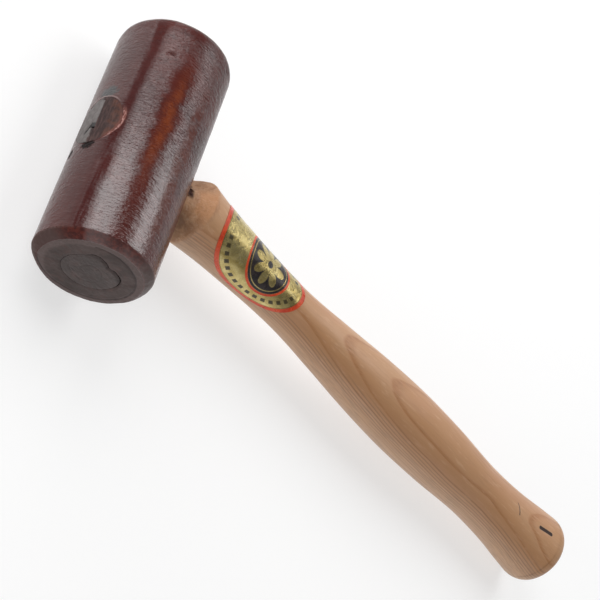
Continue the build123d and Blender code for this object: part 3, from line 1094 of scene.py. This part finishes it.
def wedge_material():
    """Hardwood wedge, lacquered over with the eye."""
    g = material_graph("wedge_wood")
    p = g.mallet()
    grain = g.noise(p, (0.2, 0.6, 3), 4, 0.6)
    blotch = g.noise(p, 0.7)
    _, y, z = g.split(p)
    # painted reflection: the wedge's end greyed like the tenon's lower facet
    g.colour = g.mix(grain.ramp(0.4, 0.65), *TRIMMED_SHEEN)
    g.paint(blotch.ramp(0.55, 0.7) * 0.6, (0.07, 0.05, 0.045))
    g.paint(z.ramp(0.35, 0.8), (0.055, 0.034, 0.03))
    # painted shade: the wedge's near end painted near black, as shade in the split beyond it
    split_shade = y.ramp(-0.6, -1.8) * (z + (blotch - 0.5) * 2).ramp(0.8, 0.2)
    g.paint(split_shade, (0.012, 0.01, 0.01))
    return g.surface(
        Base_Color=g.colour,
        Roughness=blotch.ramp(0.3, 0.7, 0.35, 0.55),
        Normal=g.bumped(grain + blotch, 0.12, 0.7),
    )


def label_material():
    """Gold foil with a printed red rim, a dark panel with a plain rosette, and a chain of dashes."""
    g = material_graph("foil_label")
    p = g.mallet()
    x, y, z = g.split(p)
    turn = g.math("ARCTAN2", -y, z) / DEGREE
    radius = g.length(y, z)
    u = x - LABEL_CENTRE
    v = turn * DEGREE * radius
    eu, ev = u / LABEL_HALF, turn / LABEL_TURN
    oval = g.length(eu, ev)
    # the rim keeps one width all round, although the oval isn't a circle
    inset = (1 - oval) * LABEL_INSET
    red = inset.ramp(1.75, 1.6)
    keyline = inset.band(1.85, 0.08, 0.1)

    foil_noise = g.noise(g.vector(u * 0.05, v * 0.16, 2), 1, 3, 0.6, 0.8)
    patchy = g.noise(p, 0.22, 3, 0.6, 0.6)
    gold = g.mix(foil_noise.ramp(0.35, 0.62), (0.4, 0.305, 0.105), (0.6, 0.49, 0.215))
    gold = g.mix(patchy.ramp(0.52, 0.7) * 0.35, gold, (0.28, 0.205, 0.062))
    gold = g.mix(patchy.ramp(0.44, 0.32) * 0.4, gold, (0.72, 0.62, 0.33))

    # chain of short dashes along the oval
    along = g.math("ARCTAN2", ev, eu) / (2 * math.pi)
    dash = g.math("PINGPONG", along * LABEL_DASHES, 0.5)
    bead = dash.ramp(0.2, 0.26) * inset.band(4.3, 0.75, 0.15) * abs(ev).ramp(0.08, 0.12)

    # round dark panel with a gold inset line and a plain rosette
    pu = u - PANEL_AT
    panel = g.length(pu, v) - PANEL_RADIUS
    dark = panel.ramp(0.08, -0.08)
    border = panel.band(0.55, 0.42, 0.12)
    drawn = g.most(panel.band(-1.15, 0.12, 0.12), rosette(g, pu, v)) * dark

    red_tone = g.mix(patchy.ramp(0.35, 0.65), (0.66, 0.075, 0.02), (0.52, 0.045, 0.014))
    ink = g.mix(patchy.ramp(0.35, 0.65), (0.012, 0.01, 0.012), (0.03, 0.022, 0.022))
    g.colour = g.mix(bead, gold, (0.055, 0.042, 0.016))
    g.paint(border, red_tone)
    g.paint(dark, ink)
    g.paint(drawn, gold)
    g.paint(keyline * 0.7, (0.1, 0.06, 0.02))
    g.paint(red, red_tone)
    g.paint(inset.ramp(0.22, 0.02) * 0.6, (0.3, 0.1, 0.06))

    printed = g.most(g.most(red, border), g.most(bead, dark))
    metal = g.most((1 - printed) * FOIL_METAL, drawn * FOIL_METAL)
    crease = g.noise(g.vector(u * 0.35, v * 0.35, 0), 1, 4, 0.6, 0.5)
    return g.surface(
        Base_Color=g.colour,
        Metallic=metal,
        Roughness=crease.ramp(0.3, 0.7, 0.2, 0.36),
        Normal=g.bumped(crease, 0.18, 0.8),
        Specular_IOR_Level=0.5,
    )


def rosette(g, u, v):
    """Plain eight-petalled rosette round the panel's middle."""
    around = g.math("ARCTAN2", v, u)
    reach = g.length(u, v)
    petal = abs(g.cosine(around * (PETALS / 2)))
    edge = 2.6 + g.math("POWER", petal, 0.6) * 6
    inside = (reach - edge).ramp(0.12, -0.12)
    return inside * reach.ramp(1.35, 1.6)


# --- Pieces ---


def add_piece(obj, node, material):
    """Gives a finished piece its material, attaches it to the root body, and hides the CAD node that it
    stands for.
    """
    obj.data.materials.clear()
    obj.data.materials.append(material)
    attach(obj, "root")
    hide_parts(node)


wrap = make_swept("hide_wrap", wrap_grid(), ring=True)
cut(wrap, make_eye_tool(), 40)
add_piece(wrap, "hide_outer_wrap", hide_material())

core_rows = core_grid()
core_poles = [(0, core_rows[0][:, 1].mean(), 0), (0, core_rows[-1][:, 1].mean(), 0)]
core = make_swept("hide_core_ends", core_rows, poles=core_poles)
cut(core, make_eye_tool(), 40)
add_piece(core, "hide_core_roll", core_material())

handle_rows = handle_grid()
handle_poles = [(handle_rows[0][:, 0].mean(), 0, 0), (BUTT_END, 0, 0)]
handle = make_swept("ash_handle", handle_rows, poles=handle_poles)
cut(handle, make_slot_tool(), 34)
add_piece(handle, "handle", wood_material())

add_piece(make_wedge(), "eye_wedge", wedge_material())
add_piece(make_label(), "oval_label", label_material())

# --- Floor, light and camera ---

FLOOR_HALF = 4.0
# Height at which the studio fades from bright low down to dim above, and its strengths
WORLD_FADE = (0.05, 0.70, 0.66, 0.12)
# Direction from the head to the photograph's camera, as the lamps were aimed
CAMERA_SIDE = Vector((-0.46, -0.576, 0.677))

CAMERA_AZIMUTH, CAMERA_ELEVATION, CAMERA_ROLL = -46.29, 38.61, -76.95
CAMERA_DISTANCE, CAMERA_LENS, CAMERA_SENSOR = 0.68516, 106.66, 36.0
TARGET = HEAD_CENTRE + Vector((0.09538, 0.00548, 0.0))


def add_lamp(name, toward, distance, size, radiance):
    """Soft rectangular lamp that faces the mallet: one side runs across the head, the other along it."""
    direction = Vector(toward).normalized()
    across = Vector((0, 1, 0)).cross(direction).normalized()
    lamp = bpy.data.lights.new(name, "AREA")
    lamp.shape = "RECTANGLE"
    lamp.size, lamp.size_y = size
    lamp.energy = radiance * math.pi * size[0] * size[1]
    obj = bpy.data.objects.new(name, lamp)
    obj.location = HEAD_CENTRE + direction * distance
    obj.rotation_mode = "QUATERNION"
    turned = Matrix((across, direction.cross(across), direction)).transposed()
    obj.rotation_quaternion = turned.to_quaternion()
    bpy.context.scene.collection.objects.link(obj)


def gleam(azimuth):
    """Direction in which the camera sees the head's side reflect, at a head azimuth in degrees."""
    normal = Vector((math.cos(azimuth * DEGREE), 0, math.sin(azimuth * DEGREE)))
    return 2 * normal.dot(CAMERA_SIDE) * normal - CAMERA_SIDE


def floor_material():
    """Pale floor that glows a little, so that it stays near white."""
    g = material_graph("pale_floor")
    return g.surface(
        Base_Color=g.mix(g.noise(g.coords("Object"), 3.0, 2, 0.5), (0.40,) * 3, (0.42,) * 3),
        Roughness=0.9,
        Specular_IOR_Level=0.2,
        Emission_Color=(1.0, 1.0, 1.0),
        Emission_Strength=0.6,
    )


floor = bpy.data.objects.new("floor", bpy.data.meshes.new("floor"))
corners = [(-FLOOR_HALF, -FLOOR_HALF, 0), (FLOOR_HALF, -FLOOR_HALF, 0)]
corners += [(FLOOR_HALF, FLOOR_HALF, 0), (-FLOOR_HALF, FLOOR_HALF, 0)]
floor.data.from_pydata(corners, [], [(0, 1, 2, 3)])
floor.data.materials.append(floor_material())
bpy.context.scene.collection.objects.link(floor)

add_lamp("lamp_left", gleam(132.5), 0.9, (0.82, 0.80), 3.3)
add_lamp("lamp_right", gleam(93.0), 0.9, (0.44, 0.95), 3.3)
add_lamp("lamp_front", (-0.45, -0.75, 0.50), 1.0, (1.10, 1.10), 0.85)

world = bpy.data.worlds.new("studio")
bpy.context.scene.world = world
sky = Graph(world)
up = sky.split(sky.coords("Generated"))[2]
glow = sky.out("ShaderNodeBackground", ((1.0, 1.0, 1.0), up.ramp(*WORLD_FADE)))
sky.node("ShaderNodeOutputWorld", (glow,))

bpy.context.scene.view_settings.view_transform = "Standard"

azimuth, elevation = math.radians(CAMERA_AZIMUTH), math.radians(CAMERA_ELEVATION)
level = math.cos(elevation)
back = Vector((math.sin(azimuth) * level, -math.cos(azimuth) * level, math.sin(elevation)))
camera = bpy.data.objects.new("camera", bpy.data.cameras.new("camera"))
camera.data.lens, camera.data.sensor_width = CAMERA_LENS, CAMERA_SENSOR
camera.location = TARGET + back * CAMERA_DISTANCE
look = back.to_track_quat("Z", "Y").to_matrix() @ Matrix.Rotation(-math.radians(CAMERA_ROLL), 3, "Z")
camera.rotation_euler = look.to_euler()
bpy.context.scene.collection.objects.link(camera)
bpy.context.scene.camera = camera
